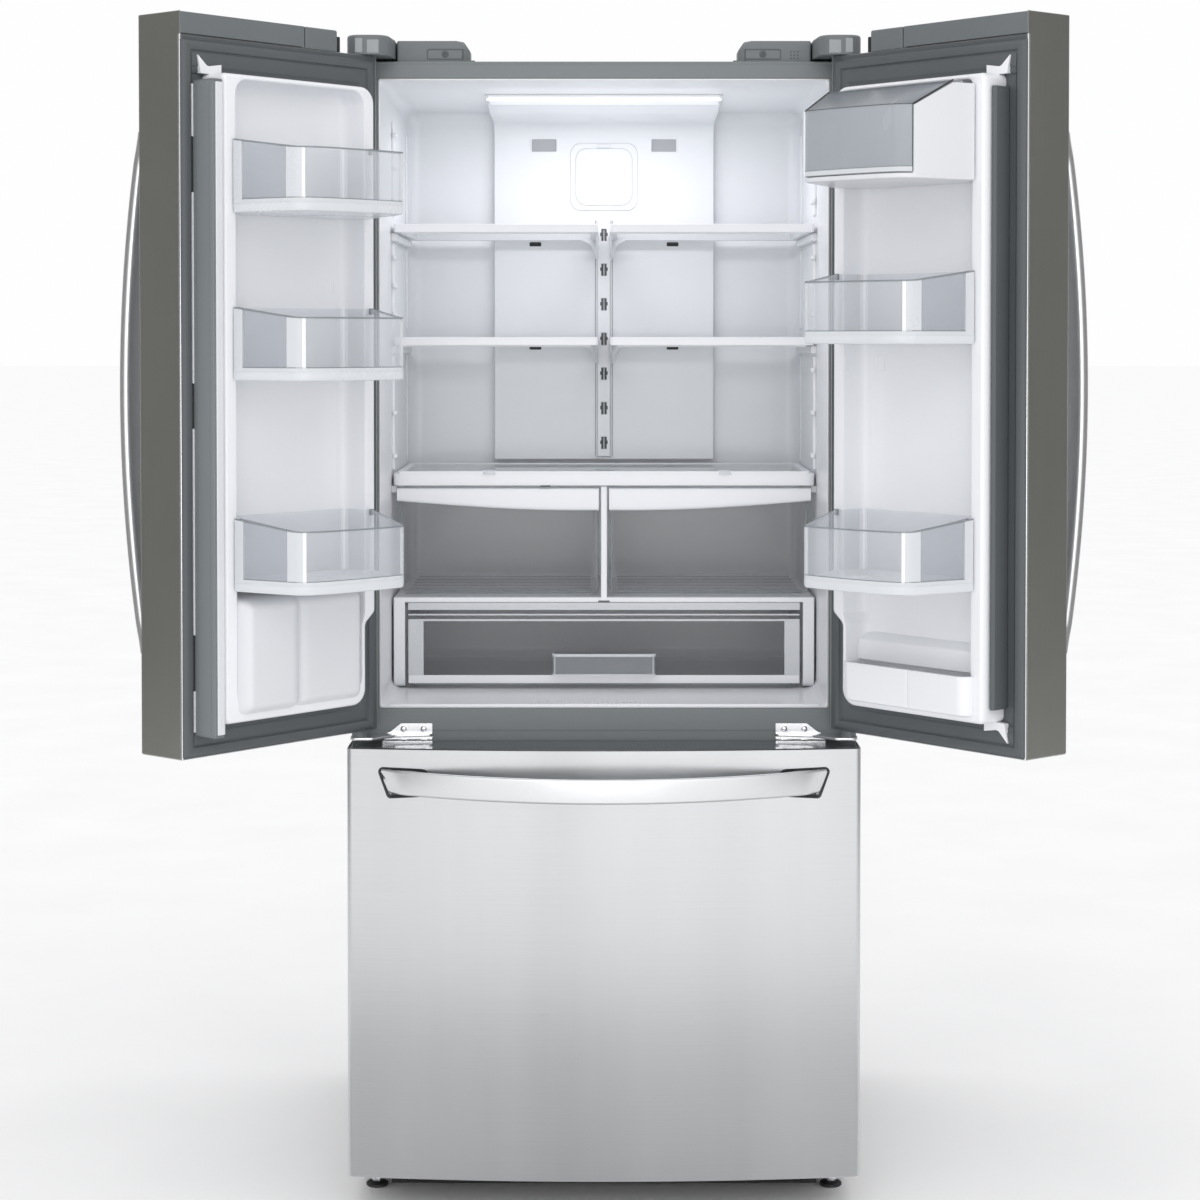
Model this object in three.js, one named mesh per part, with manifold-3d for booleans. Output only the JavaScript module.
// French door refrigerator: two hinged doors over a freezer drawer, shown with both doors fully open.
// Millimetres, +Z up, +Y towards the back. The model is built about the middle of the cabinet's front
// plane at floor level, and then shifted so that its origin is the centre of its bounding box's base.
import * as THREE from 'three';
import { mergeVertices } from 'three/addons/utils/BufferGeometryUtils.js';
import Module from 'manifold-3d';

// ---- driving dimensions ----------------------------------------------------------------------
const WIDTH = 756;
const HALF = WIDTH / 2;
const CASE_TOP = 1711;
const CASE_BOTTOM = 45;
const CASE_BACK = 700;
const SHEET = 1.5;
const GAP = 0.4; // between pieces that touch
const FRAME_DEPTH = 2.5; // front frame, Y 0 to here
const ORIGIN_SHIFT_Y = -165; // cabinet front plane in the finished part

const OPENING = { half: 337, low: 745, high: 1686, back: 572 }; // fresh food compartment
const FREEZER = { half: 337, low: 100, high: 655, back: 472 };
const LINER_WALL = 2.5;
const MACHINE_ROOM = { half: 330, front: 500, high: 330 };

const DOOR_ANGLE = 130.3; // at the stop, from closed
const PIVOT = { x: 363, y: -36 }; // hinge axis of the left door is at -x
const DOOR = { low: 719, high: 1746, shoulder: 1714, inner: 24, hinge: -15, free: 361 };
const FRONT_BOW = 24;
const FRONT_RADIUS = (HALF * HALF + FRONT_BOW * FRONT_BOW) / (2 * FRONT_BOW);
const FRONT_MIDDLE = -102; // Y of the fronts at X = 0
const GASKET = { depth: 11.3, width: 14 };
const FOAM_HOLE = 12; // radius of the hole that a front is filled with foam through

const DRAWER = { low: 62, high: 698, inner: -12 };
const SHELF_FRONT = 187;
const SHELF_BACK = 540;
const SHELF_TOPS = [1478, 1301];

// ---- solids ----------------------------------------------------------------------------------
const wasm = await Module();
wasm.setup();

function bare(geometry) {
  const copy = geometry.clone();
  copy.deleteAttribute('normal');
  copy.deleteAttribute('uv');
  return mergeVertices(copy, 1e-4);
}

function toSolid(geometry) {
  const { attributes, index } = bare(geometry);
  return new wasm.Manifold(new wasm.Mesh({
    numProp: 3,
    vertProperties: attributes.position.array,
    triVerts: new Uint32Array(index.array),
  }));
}

function toGeometry(solid) {
  const { vertProperties, triVerts } = solid.getMesh();
  const geometry = new THREE.BufferGeometry();
  geometry.setAttribute('position', new THREE.BufferAttribute(vertProperties, 3));
  geometry.setIndex(new THREE.BufferAttribute(triVerts, 1));
  return geometry;
}

const join = (...all) => toGeometry(all.map(toSolid).reduce((sum, next) => sum.add(next)));
const cut = (body, ...tools) => toGeometry(
  tools.map(toSolid).reduce((rest, tool) => rest.subtract(tool), toSolid(body)),
);

// The same geometry on the other side of the X = 0 plane.
function mirrored(geometry) {
  const copy = bare(geometry);
  copy.scale(-1, 1, 1);
  const index = copy.index.array;
  for (let i = 0; i < index.length; i += 3) {
    [index[i], index[i + 1]] = [index[i + 1], index[i]];
  }
  return copy;
}

const onSide = (side, geometry) => (side < 0 ? geometry : mirrored(geometry));

// A box from its low and high limits along X, Y and Z.
function block([x0, x1], [y0, y1], [z0, z1]) {
  const geometry = new THREE.BoxGeometry(x1 - x0, y1 - y0, z1 - z0);
  return geometry.translate((x0 + x1) / 2, (y0 + y1) / 2, (z0 + z1) / 2);
}

// An outline through corners given as [x, y] or [x, y, radius].
function outline(corners) {
  const shape = new THREE.Shape();
  const count = corners.length;
  corners.forEach(([x, y, radius = 0], i) => {
    const here = new THREE.Vector2(x, y);
    const before = new THREE.Vector2(...corners[(i + count - 1) % count].slice(0, 2));
    const after = new THREE.Vector2(...corners[(i + 1) % count].slice(0, 2));
    const start = before.sub(here).setLength(radius).add(here);
    const end = after.sub(here).setLength(radius).add(here);
    if (i === 0) {
      shape.moveTo(start.x, start.y);
    } else {
      shape.lineTo(start.x, start.y);
    }
    if (radius > 0) {
      shape.quadraticCurveTo(x, y, end.x, end.y);
    }
  });
  shape.closePath();
  return shape;
}

const rectangle = (x0, x1, y0, y1, radius = 0) => outline([
  [x0, y0, radius], [x1, y0, radius], [x1, y1, radius], [x0, y1, radius],
]);

function extrude(shape, depth, curveSegments = 4) {
  return new THREE.ExtrudeGeometry(shape, { depth, bevelEnabled: false, curveSegments });
}

// Outlines drawn in the XY, YZ or XZ plane and extruded along the third axis.
const extrudeZ = (shape, [z0, z1], n) => extrude(shape, z1 - z0, n).translate(0, 0, z0);

function extrudeX(shape, [x0, x1], n) {
  const turn = new THREE.Matrix4().makeBasis(
    new THREE.Vector3(0, 1, 0), new THREE.Vector3(0, 0, 1), new THREE.Vector3(1, 0, 0),
  );
  return extrude(shape, x1 - x0, n).applyMatrix4(turn).translate(x0, 0, 0);
}

function extrudeY(shape, [y0, y1], n) {
  const turn = new THREE.Matrix4().makeBasis(
    new THREE.Vector3(1, 0, 0), new THREE.Vector3(0, 0, 1), new THREE.Vector3(0, -1, 0),
  );
  return extrude(shape, y1 - y0, n).applyMatrix4(turn).translate(0, y1, 0);
}

function pin([x, y], [z0, z1], radius, sides = 16) {
  const geometry = new THREE.CylinderGeometry(radius, radius, z1 - z0, sides);
  return geometry.rotateX(Math.PI / 2).translate(x, y, (z0 + z1) / 2);
}

// A cylinder lying along X.
function crossPin([x0, x1], [y, z], radius, sides = 24) {
  const geometry = new THREE.CylinderGeometry(radius, radius, x1 - x0, sides);
  return geometry.rotateZ(Math.PI / 2).translate((x0 + x1) / 2, y, z);
}

// ---- materials -------------------------------------------------------------------------------
const finish = (color, roughness, metalness) => (
  new THREE.MeshStandardMaterial({ color, roughness, metalness })
);
const stainless = finish(0xc9cbcc, 0.32, 0.9);
const handleSteel = finish(0xd4d6d7, 0.25, 0.95);
const greyPaint = finish(0x6b7072, 0.5, 0.3);
const frameGrey = finish(0x848a8c, 0.45, 0.3);
const zinc = finish(0xd8d8da, 0.3, 0.9);
const whitePlastic = finish(0xe9e9ee, 0.35, 0);
const clearPlastic = finish(0xe4ebee, 0.1, 0);
const shelfGlass = finish(0xdfeaec, 0.08, 0);
const gasketRubber = finish(0x6c7577, 0.7, 0);
const darkPlastic = finish(0x5b6164, 0.5, 0);
const blackPlastic = finish(0x2b2d2f, 0.6, 0);
const foam = finish(0xe6d9a8, 0.9, 0);
const castIron = finish(0x1d1e20, 0.6, 0.4);
const coilMetal = finish(0xb9bcc0, 0.4, 0.9);
const lampPlastic = finish(0xf7f8fb, 0.4, 0);

const refrigerator = new THREE.Group();
refrigerator.position.y = ORIGIN_SHIFT_Y;

function add(name, geometry, material, parent = refrigerator) {
  const mesh = new THREE.Mesh(bare(geometry), material);
  mesh.name = name;
  parent.add(mesh);
  return mesh;
}

const SIDES = [['left', -1], ['right', 1]];

// Limits along X on one side of the middle, from the distances of their ends to it.
const spanOn = (side, near, far) => [side * near, side * far].sort((a, b) => a - b);

// ---- cabinet ---------------------------------------------------------------------------------
function addCabinet() {
  const inside = HALF - SHEET;
  const depth = [FRAME_DEPTH + GAP, CASE_BACK - 2 * GAP - SHEET];
  add('outer_case', cut(
    block([-HALF, HALF], depth, [CASE_BOTTOM, CASE_TOP]),
    block([-inside, inside], [0, CASE_BACK], [0, CASE_TOP - SHEET]),
  ), greyPaint);

  const frame = extrudeY(rectangle(-HALF, HALF, CASE_BOTTOM, CASE_TOP), [0, FRAME_DEPTH]);
  const window = ({ half, low, high }) => (
    extrudeY(rectangle(-half, half, low, high), [-1, FRAME_DEPTH + 1])
  );
  add('front_frame', cut(frame, window(OPENING), window(FREEZER)), frameGrey);

  const louvres = Array.from({ length: 9 }, (_, i) => (
    block([-250, 150], [CASE_BACK - 5, CASE_BACK + 5], [110 + 22 * i, 118 + 22 * i])
  ));
  const plugHole = block([206, 264], [CASE_BACK - 5, CASE_BACK + 5], [126, 184]);
  const backSheet = block(
    [-HALF, HALF], [CASE_BACK - SHEET, CASE_BACK], [CASE_BOTTOM, CASE_TOP],
  );
  add('back_panel', cut(backSheet, plugHole, ...louvres), greyPaint);

  const rails = [-1, 1].map((side) => {
    const x = side * (HALF - 30);
    return block([x - 26, x + 26], [90, CASE_BACK - 30], [22, CASE_BOTTOM - 2]);
  });
  const tunnels = [-1, 1].map((side) => {
    const x = side * (HALF - 30);
    return block([x - 23, x + 23], [60, CASE_BACK - 33], [0, CASE_BOTTOM - 5]);
  });
  const floor = block([-HALF, HALF], [FRAME_DEPTH + GAP, CASE_BACK], [42, CASE_BOTTOM - GAP]);
  add('base_pan', join(floor, ...rails.map((rail, i) => cut(rail, tunnels[i]))), blackPlastic);

  const grilleSlots = Array.from({ length: 7 }, (_, i) => (
    block([-300, 300], [50, 80], [11 + 4 * i, 13 + 4 * i])
  ));
  add('kick_plate', cut(
    block([-325, 325], [62, 66], [7, 41.5]),
    ...grilleSlots,
  ), blackPlastic);
}

function linerBox({ half, low, high, back }) {
  const outer = block([-half + GAP, half - GAP], [0.2, back], [low + GAP, high - GAP]);
  const wall = LINER_WALL + GAP;
  return cut(outer, block(
    [-half + wall, half - wall], [-1, back - LINER_WALL], [low + wall, high - wall],
  ));
}

function addLiners() {
  const inner = OPENING.half - LINER_WALL - GAP;
  const ledgeHeights = [...SHELF_TOPS.map((top) => [top - 26, top - 13.6]), [1056, 1067.4]];
  const ledges = SIDES.flatMap(([, side]) => ledgeHeights.map((height) => (
    block(spanOn(side, inner - 9, inner + 1), [205, 520], height)
  )));
  add('fridge_liner', join(linerBox(OPENING), ...ledges), whitePlastic);
  add('freezer_liner', linerBox(FREEZER), whitePlastic);

  const reach = HALF - SHEET - GAP;
  const cavity = ({ half, low, high, back }) => (
    block([-half, half], [-1, back + GAP], [low, high])
  );
  const room = MACHINE_ROOM;
  add('insulation', cut(
    block(
      [-reach, reach],
      [FRAME_DEPTH + GAP, CASE_BACK - SHEET - GAP],
      [CASE_BOTTOM + GAP, CASE_TOP - SHEET - GAP],
    ),
    cavity(OPENING),
    cavity(FREEZER),
    block([-room.half, room.half], [room.front, CASE_BACK], [0, room.high]),
  ), foam);
}

// ---- inside the fresh food compartment -------------------------------------------------------
function addDuct() {
  const back = OPENING.back - LINER_WALL - GAP;
  const top = OPENING.high - LINER_WALL - 2 * GAP;
  const thick = 20;
  const corner = 30;
  const profile = outline([
    [back, 1092], [back, top], [318, top], [318, top - 6],
    [380, top - thick + 4, 20], [back - thick, top - thick, corner], [back - thick, 1092],
  ]);
  const panel = extrudeX(profile, [-187, 187], 8);
  const ventDepth = [500, back - 8];
  const topVents = SIDES.map(([, side]) => block(spanOn(side, 81, 123), ventDepth, [1617, 1638]));
  const sideVents = SIDES.flatMap(([, side]) => [1456, 1280].map((z) => (
    block(spanOn(side, 107, 127), ventDepth, [z, z + 7])
  )));
  const track = block([-11, 11], [back - thick - 7, back - 8], [1098, 1500]);
  const trackSlots = Array.from({ length: 7 }, (_, i) => (
    block([-4, 4], [500, back - thick - 2], [1111 + 59 * i, 1131 + 59 * i])
  ));
  const vents = [...topVents, ...sideVents, ...trackSlots];
  add('air_duct_panel', cut(join(panel, track), ...vents), whitePlastic);
  add('lamp_cover', extrudeX(
    outline([[226, top], [226, top - 8, 5], [312, top - 8, 5], [312, top]]), [-183, 183],
  ), lampPlastic);
}

// A glass shelf: a frame round a thin sheet, hollow below.
function shelf([x0, x1], [y0, y1], top, height) {
  const border = 12;
  const glass = 4.5;
  return cut(
    extrudeZ(rectangle(x0, x1, y0, y1, 6), [top - height, top]),
    block(
      [x0 + border, x1 - border], [y0 + border, y1 - border], [top - height - 1, top - glass],
    ),
  );
}

function addShelves() {
  const levels = ['upper', 'lower'];
  SHELF_TOPS.forEach((top, level) => {
    SIDES.forEach(([name, side]) => {
      const half = shelf([-329, -9], [SHELF_FRONT, SHELF_BACK], top, 13);
      add(`${levels[level]}_shelf_${name}`, onSide(side, half), shelfGlass);
    });
  });
  add('crisper_cover', shelf([-331, 331], [SHELF_FRONT, SHELF_BACK], 1087, 19), shelfGlass);

  const panel = block([-331, 331], [SHELF_FRONT + 6, SHELF_BACK], [884, 892]);
  const divider = block([-5, 5], [SHELF_FRONT + 6, SHELF_BACK], [891, 1067]);
  const cheek = outline([
    [SHELF_FRONT + 6, 749, 22], [SHELF_BACK, 749], [SHELF_BACK, 885], [SHELF_FRONT + 6, 885],
  ]);
  const cheeks = SIDES.map(([, side]) => extrudeX(cheek, spanOn(side, 313, 331)));
  add('crisper_support', join(panel, divider, ...cheeks), whitePlastic);
}

// ---- crispers and pantry ---------------------------------------------------------------------
function tray([x0, x1], [y0, y1], [z0, z1], wall, radius) {
  return cut(
    extrudeZ(rectangle(x0, x1, y0, y1, radius), [z0, z1]),
    extrudeZ(
      rectangle(x0 + wall, x1 - wall, y0 + wall, y1 - wall, radius - wall / 2),
      [z0 + wall, z1 + 1],
    ),
  );
}

function addDrawers() {
  SIDES.forEach(([name, side]) => {
    const crisper = tray([-322, -10], [199, 520], [897, 1046], 3, 14);
    const front = extrudeY(outline([
      [-325, 1064, 4], [-325, 1040, 8], [-240, 1031], [-170, 1029], [-90, 1030], [-8, 1033, 8],
      [-8, 1064, 4],
    ]), [SHELF_FRONT, 198.5]);
    add(`crisper_${name}`, onSide(side, crisper), clearPlastic);
    add(`crisper_front_${name}`, onSide(side, front), whitePlastic);
  });
  const pantry = tray([-309, 309], [196, 520], [754, 866], 3, 12);
  const handle = cut(
    extrudeZ(outline([[-78, 197], [-78, 182, 6], [78, 182, 6], [78, 197]]), [772, 803]),
    block([-72, 72], [185, 195.8], [760, 799]),
  );
  add('pantry_drawer', join(pantry, handle), clearPlastic);
}

// ---- doors -----------------------------------------------------------------------------------
// Door pieces are drawn for the closed left door about its hinge axis: X runs to the free edge and
// Y into the cabinet. The right door has their mirror images.
function frontArc(from, to, middleX, middleY, steps) {
  return Array.from({ length: steps + 1 }, (_, i) => {
    const x = from + ((to - from) * i) / steps;
    const off = x - middleX;
    return [x, middleY + FRONT_RADIUS - Math.sqrt(FRONT_RADIUS ** 2 - off ** 2)];
  });
}

function doorOutline(from, inset = 0) {
  const free = DOOR.free - inset;
  const back = DOOR.inner - inset;
  const start = from + inset;
  const arc = frontArc(free - 5, start + 5, PIVOT.x, FRONT_MIDDLE - PIVOT.y + inset, 8);
  const hingeFront = arc[arc.length - 1][1];
  return outline([
    [free, back, 2], [free, arc[0][1] + 4], ...arc, [start, hingeFront + 4], [start, back, 2],
  ]);
}

function gasketRing([x0, x1], [z0, z1], [y0, y1]) {
  const { width } = GASKET;
  return cut(
    extrudeY(rectangle(x0, x1, z0, z1, 5), [y0, y1]),
    extrudeY(
      rectangle(x0 + width, x1 - width, z0 + width, z1 - width, 3), [y0 - 1, y1 + 1],
    ),
  );
}

// The raised inner wall of a door: a rim round a shallow recess, with a bulge below it on the left
// door and a pocket below it on the right one.
function doorLiner(side) {
  const base = DOOR.inner + GAP;
  const rimTop = 70;
  // The rim steps in at the hinge end, low down.
  const rim = extrudeY(outline([
    [53, 768, 24], [322, 768, 24], [322, 1657, 24], [34, 1657, 24], [34, 901, 8], [53, 885, 8],
  ]), [base, rimTop]);
  const recess = extrudeY(rectangle(56, 300, 790, 1649, 5), [base + 3, rimTop + 1]);
  const shell = cut(rim, recess);
  if (side < 0) {
    const bulge = extrudeX(outline([
      [base, 780], [87, 780, 16], [87, 930, 14], [base, 945],
    ]), [60, 306]);
    return join(shell, bulge);
  }
  const pocket = extrudeX(outline([
    [base, 780], [87, 780, 16], [87, 834, 4], [base, 834],
  ]), [58, 306]);
  const scoop = block([64, 299], [base + 3, 83], [786, 840]);
  return cut(join(shell, pocket), scoop);
}

// Plan outline of what hangs on a door, slanted at the hinge end so that it clears the cabinet.
const binPlan = (inset = 0) => outline([
  [58 + inset, 29 + inset], [298 - inset, 29 + inset], [298 - inset, 72 + inset],
  [309 - inset, 72 + inset], [291 - inset, 190 - inset, 22], [250, 201 - inset], [200, 207 - inset],
  [150, 209 - inset], [112 + inset, 208 - inset, 16], [45 + 2 * inset, 72 + inset],
  [58 + inset, 72 + inset],
]);

// A door bin: its rim falls from its height at the door to its height at the front.
const BIN = { back: 101, front: 87 };
const bin = (low) => cut(
  extrudeZ(binPlan(), [low, low + BIN.back]),
  extrudeZ(binPlan(3), [low + 5, low + BIN.back + 1]),
  extrudeX(outline([
    [74, low + BIN.back + 1], [74, low + BIN.back], [180, low + BIN.front], [212, low + BIN.front],
    [212, low + BIN.back + 1],
  ]), [40, 312]),
);

// A bow handle: a flat band whose ends turn in to meet the face it is fixed to. It stands foot
// proud of the face at its ends, and rise more in the middle.
function handleProfile({ half, foot, rise, thick }, faceAt) {
  const steps = 10;
  const bowAt = (t) => faceAt(t) - foot - rise * (1 - (t / half) ** 2);
  const outer = Array.from({ length: steps + 1 }, (_, i) => {
    const t = -half + (2 * half * i) / steps;
    return [t, bowAt(t)];
  });
  const innerHalf = half - 30;
  const inner = Array.from({ length: steps + 1 }, (_, i) => {
    const t = innerHalf - (2 * innerHalf * i) / steps;
    return [t, bowAt(t) + thick];
  });
  return outline([
    [-half, faceAt(-half)], ...outer, [half, faceAt(half)],
    [half - 34, faceAt(half - 34)], ...inner, [34 - half, faceAt(34 - half)],
  ].map(([t, depth]) => [depth, t]));
}

// Adds a door and returns the function that adds more pieces to it.
function addDoor(name, side) {
  const door = new THREE.Group();
  door.position.set(side * PIVOT.x, PIVOT.y, 0);
  door.rotation.z = THREE.MathUtils.degToRad(side * DOOR_ANGLE);
  refrigerator.add(door);
  const put = (node, geometry, material) => add(node, onSide(side, geometry), material, door);

  // A hollow steel box, with a boss round each hinge pin's socket and a hole to fill it with foam.
  const inside = [DOOR.low + SHEET, DOOR.shoulder - SHEET];
  const sockets = [[DOOR.low - 1, DOOR.low + 20], [DOOR.shoulder - 20, DOOR.shoulder + 1]];
  const bosses = [[DOOR.low, DOOR.low + 22], [DOOR.shoulder - 22, DOOR.shoulder]];
  const cavity = cut(
    extrudeZ(doorOutline(DOOR.hinge, SHEET), inside),
    ...bosses.map((span) => pin([0, 0], span, 12)),
  );
  put(`${name}_door_panel`, cut(
    extrudeZ(doorOutline(DOOR.hinge), [DOOR.low, DOOR.shoulder]),
    cavity,
    pin([200, -20], [DOOR.shoulder - 5, DOOR.shoulder + 1], FOAM_HOLE),
    ...sockets.map((span) => pin([0, 0], span, 6)),
  ), stainless);
  put(`${name}_door_top_cap`, extrudeZ(
    doorOutline(62), [DOOR.shoulder + GAP, DOOR.high],
  ), darkPlastic);
  put(`${name}_door_liner`, doorLiner(side), whitePlastic);
  put(`${name}_door_gasket`, gasketRing(
    [-3, 360.5], [723, 1707], [DOOR.inner + GAP, DOOR.inner + GASKET.depth],
  ), gasketRubber);

  const faceY = FRONT_MIDDLE - PIVOT.y - GAP;
  const bow = { half: 365, foot: 25, rise: 41.5, thick: 14 };
  const handle = extrudeX(
    handleProfile(bow, () => faceY), [307, 344], 4,
  ).translate(0, 0, 1222);
  put(`${name}_door_handle`, handle, handleSteel);
  return put;
}

// The dairy box: a floor, a back and two ends, under a lid with a sloping top and a bowed front.
const DAIRY = { floor: [1515, 1522], top: 1650, crease: 1614, slopeBack: 110, front: 206, back: 84 };

const dairyProfile = (back, low, inset) => outline([
  [back, low], [DAIRY.front - inset, low], [DAIRY.front - inset, DAIRY.crease - 0.6 * inset],
  [DAIRY.slopeBack, DAIRY.top - inset], [back, DAIRY.top - inset],
]);

// Plan of all that lies behind the lid's bowed front, set back by an inset.
const behindDairyFront = (inset) => outline([
  [0, 0], [400, 0], [400, 150], [291, 187 - inset], [250, 197 - inset], [200, 203 - inset],
  [150, 205 - inset], [112, 204 - inset], [0, 150],
]);

// The part of a geometry that lies inside all of the limits.
function within(geometry, ...limits) {
  return toGeometry(
    limits.reduce((solid, limit) => solid.intersect(toSolid(limit)), toSolid(geometry)),
  );
}

function dairyLid() {
  const wall = 3;
  const across = [50, 308];
  const outside = within(
    extrudeX(dairyProfile(DAIRY.back, DAIRY.floor[1] + 1, 0), across),
    extrudeZ(behindDairyFront(0), [1500, 1700]), extrudeZ(binPlan(), [1500, 1700]),
  );
  const inside = within(
    extrudeX(dairyProfile(DAIRY.back - 1, DAIRY.floor[1], wall), [40, 320]),
    extrudeZ(behindDairyFront(wall), [1500, 1700]),
  );
  return cut(outside, inside);
}

function dairyBox() {
  const clearance = 3.6;
  const ends = cut(
    extrudeZ(binPlan(), [DAIRY.floor[0], DAIRY.top]),
    extrudeZ(binPlan(3.5), [DAIRY.floor[0] - 1, DAIRY.top + 1]),
  );
  return join(extrudeZ(binPlan(), DAIRY.floor), within(
    ends,
    extrudeX(dairyProfile(0, DAIRY.floor[0], clearance), [40, 320]),
    extrudeZ(behindDairyFront(clearance), [1500, 1642]),
  ));
}

function addDoors() {
  const putLeft = addDoor('left', -1);
  const putRight = addDoor('right', 1);
  putLeft('door_bin_left_upper', bin(1471), clearPlastic);
  putLeft('door_bin_left_middle', bin(1241), clearPlastic);
  putLeft('door_bin_left_lower', bin(951), clearPlastic);
  putRight('door_bin_right_upper', bin(1291), clearPlastic);
  putRight('door_bin_right_lower', bin(951), clearPlastic);

  putRight('dairy_box', dairyBox(), whitePlastic);
  putRight('dairy_lid', dairyLid(), clearPlastic);

  const mullion = extrudeZ(
    outline([[323, 24.5, 3], [343, 24.5, 2], [343, 72, 2], [323, 72, 6]]), [752, 1652],
  );
  putLeft('flip_mullion', mullion, darkPlastic);
}

// ---- hinges ----------------------------------------------------------------------------------
function addHinges() {
  const { x, y } = PIVOT;
  SIDES.forEach(([name, side]) => {
    const arm = extrudeZ(outline([
      [-HALF, 40], [-HALF, y - 26, 20], [-x + 48, y - 26, 26], [-x + 54, 6], [-x + 54, 40],
    ]), [DOOR.shoulder + 1, 1744]);
    const cover = extrudeZ(
      outline([[-309.2, 6], [-201, 6, 6], [-196, 78, 6], [-HALF, 78, 6], [-HALF, 39], [-309.2, 39]]),
      [CASE_TOP + GAP, 1740],
    );
    const topPin = pin([-x, y], [DOOR.shoulder - 16, DOOR.shoulder + 2], 5);
    add(`top_hinge_${name}`, onSide(side, join(arm, cover, topPin)), darkPlastic);

    const plate = block([-312, -257], [-4, -GAP], [686, 721]);
    const shelfArm = extrudeZ(outline([
      [-HALF + 1, -14], [-HALF + 1, y - 16, 8], [-x + 22, y - 16, 8], [-312, -18], [-290, -GAP],
      [-345, -GAP],
    ]), [704, 708]);
    const gusset = extrudeZ(outline([[-312, -12], [-257, -12], [-257, -GAP], [-312, -GAP]]), [704, 708]);
    const bush = pin([-x, y], [707, DOOR.low - GAP], 11);
    const lowPin = pin([-x, y], [707, DOOR.low + 16], 5);
    add(`middle_hinge_${name}`, onSide(side, join(plate, shelfArm, gusset, bush, lowPin)), zinc);
  });
}

// ---- freezer drawer --------------------------------------------------------------------------
function addFreezer() {
  const front = (inset) => {
    const half = HALF - inset;
    const back = DRAWER.inner - inset;
    const arc = frontArc(-half + 5, half - 5, 0, FRONT_MIDDLE + inset, 14);
    const edge = arc[0][1] + 4;
    return outline([[half, back, 2], [-half, back, 2], [-half, edge], ...arc, [half, edge]]);
  };
  add('freezer_front', cut(
    extrudeZ(front(0), [DRAWER.low, DRAWER.high]),
    extrudeZ(front(SHEET), [DRAWER.low + SHEET, DRAWER.high - SHEET]),
    pin([0, -50], [DRAWER.low - 1, DRAWER.low + 5], FOAM_HOLE),
  ), stainless);
  add('freezer_gasket', gasketRing(
    [-360, 360], [74, 682], [DRAWER.inner + GAP, -0.7],
  ), gasketRubber);
  add('freezer_inner_panel', extrudeY(
    rectangle(-322, 322, 116, 640, 22), [DRAWER.inner + GAP, 22],
  ), whitePlastic);

  const faceAt = (x) => FRONT_MIDDLE - GAP + FRONT_RADIUS - Math.sqrt(FRONT_RADIUS ** 2 - x ** 2);
  const bow = handleProfile({ half: 328, foot: 6, rise: 58, thick: 11 }, faceAt);
  const flat = extrudeX(bow, [0, 39], 4);
  const lay = new THREE.Matrix4().makeBasis(
    new THREE.Vector3(0, 0, 1), new THREE.Vector3(0, 1, 0), new THREE.Vector3(-1, 0, 0),
  );
  add('freezer_handle', flat.applyMatrix4(lay).translate(0, 0, 629), handleSteel);

  const basket = tray([-285, 285], [30, 405], [125, 400], 4, 26);
  const arms = SIDES.map(([, side]) => block(spanOn(side, 284, 300), [22.5, 405], [332, 370]));
  add('deep_basket', join(basket, ...arms), whitePlastic);
  add('freezer_tray', tray([-292, 292], [40, 260], [402, 500], 4, 26), whitePlastic);

  SIDES.forEach(([name, side]) => {
    const wall = FREEZER.half - LINER_WALL - 2 * GAP;
    const channel = extrudeY(outline([
      [-wall, 326], [-301, 326], [-301, 331], [-wall + 6, 331], [-wall + 6, 371], [-301, 371],
      [-301, 376], [-wall, 376],
    ]), [24, 450]);
    add(`freezer_rail_${name}`, onSide(side, channel), zinc);
  });
}

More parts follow.
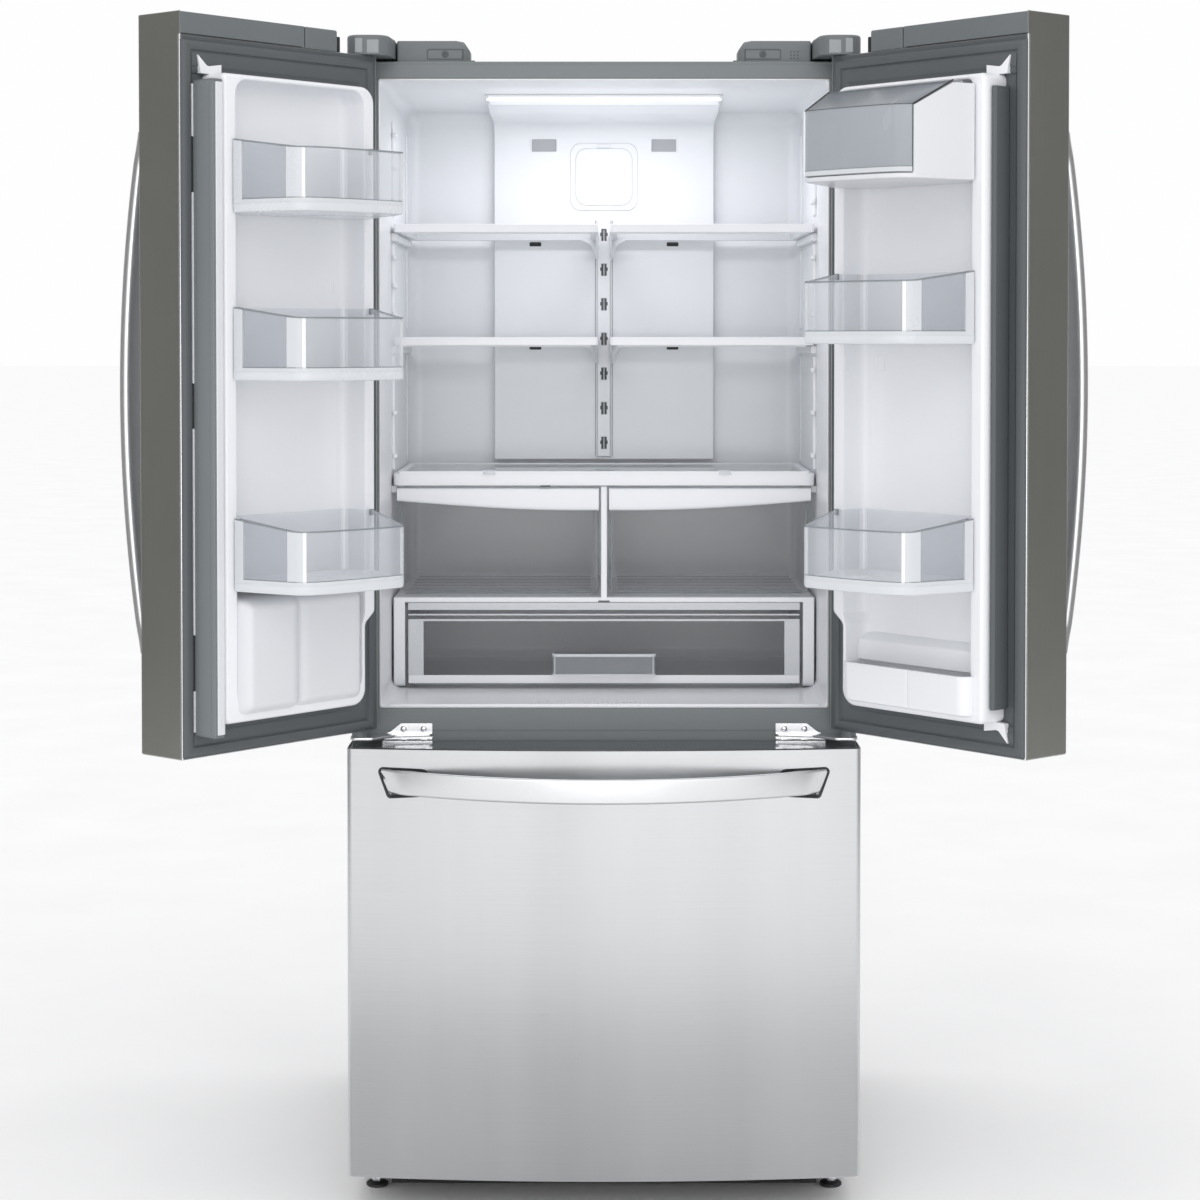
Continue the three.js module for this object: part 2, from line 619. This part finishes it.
// ---- machine room, evaporator and feet -------------------------------------------------------
function addMachine() {
  const can = new THREE.LatheGeometry([
    [0, 0], [78, 0], [88, 20], [92, 70], [88, 130], [62, 165], [0, 172],
  ].map(([r, z]) => new THREE.Vector2(r, z)), 20);
  can.rotateX(Math.PI / 2).translate(-150, 600, 62);
  const legs = block([-240, -60], [530, 670], [CASE_BOTTOM + GAP, 64]);
  add('compressor', join(can, legs), castIron);

  add('drip_pan', tray([-30, 190], [520, 680], [CASE_BOTTOM + GAP, 90], 3, 12), blackPlastic);

  const inlet = cut(
    join(
      block([208, 262], [650, CASE_BACK - 2], [128, 182]),
      block([212, 258], [CASE_BACK - 3, CASE_BACK + 6], [132, 178]),
    ),
    block([218, 252], [CASE_BACK - 24, CASE_BACK + 8], [142, 168]),
  );
  add('power_inlet', inlet, blackPlastic);

  const fins = Array.from({ length: 12 }, (_, i) => (
    block([-221 + 40 * i, -219 + 40 * i], [418, 466], [300, 460])
  ));
  const tubes = [330, 380, 430].map((z) => crossPin([-240, 240], [442, z], 6, 8));
  const ends = [-240, 240].map((x) => block([x - 2, x + 2], [418, 466], [300, 460]));
  add('evaporator', join(...ends, ...tubes, ...fins), coilMetal);

  const hub = new THREE.CylinderGeometry(18, 18, 24, 16).translate(0, 445, 560);
  const blades = Array.from({ length: 5 }, (_, i) => (
    new THREE.BoxGeometry(22, 4, 46).rotateZ(0.5).translate(0, 0, 36)
      .rotateY((i * 2 * Math.PI) / 5).translate(0, 445, 560)
  ));
  add('evaporator_fan', join(hub, ...blades), blackPlastic);

  SIDES.forEach(([name, side]) => {
    const x = side * (HALF - 30);
    add(`levelling_leg_${name}`, join(
      pin([x, 76], [0, 8], 17, 20),
      pin([x, 76], [7, 41.5], 6, 12),
    ), blackPlastic);
    add(`rear_roller_${name}`, crossPin([x - 12, x + 12], [CASE_BACK - 60, 19], 19, 28), blackPlastic);
  });
}

addCabinet();
addLiners();
addDuct();
addShelves();
addDrawers();
addDoors();
addHinges();
addFreezer();
addMachine();

export default refrigerator;
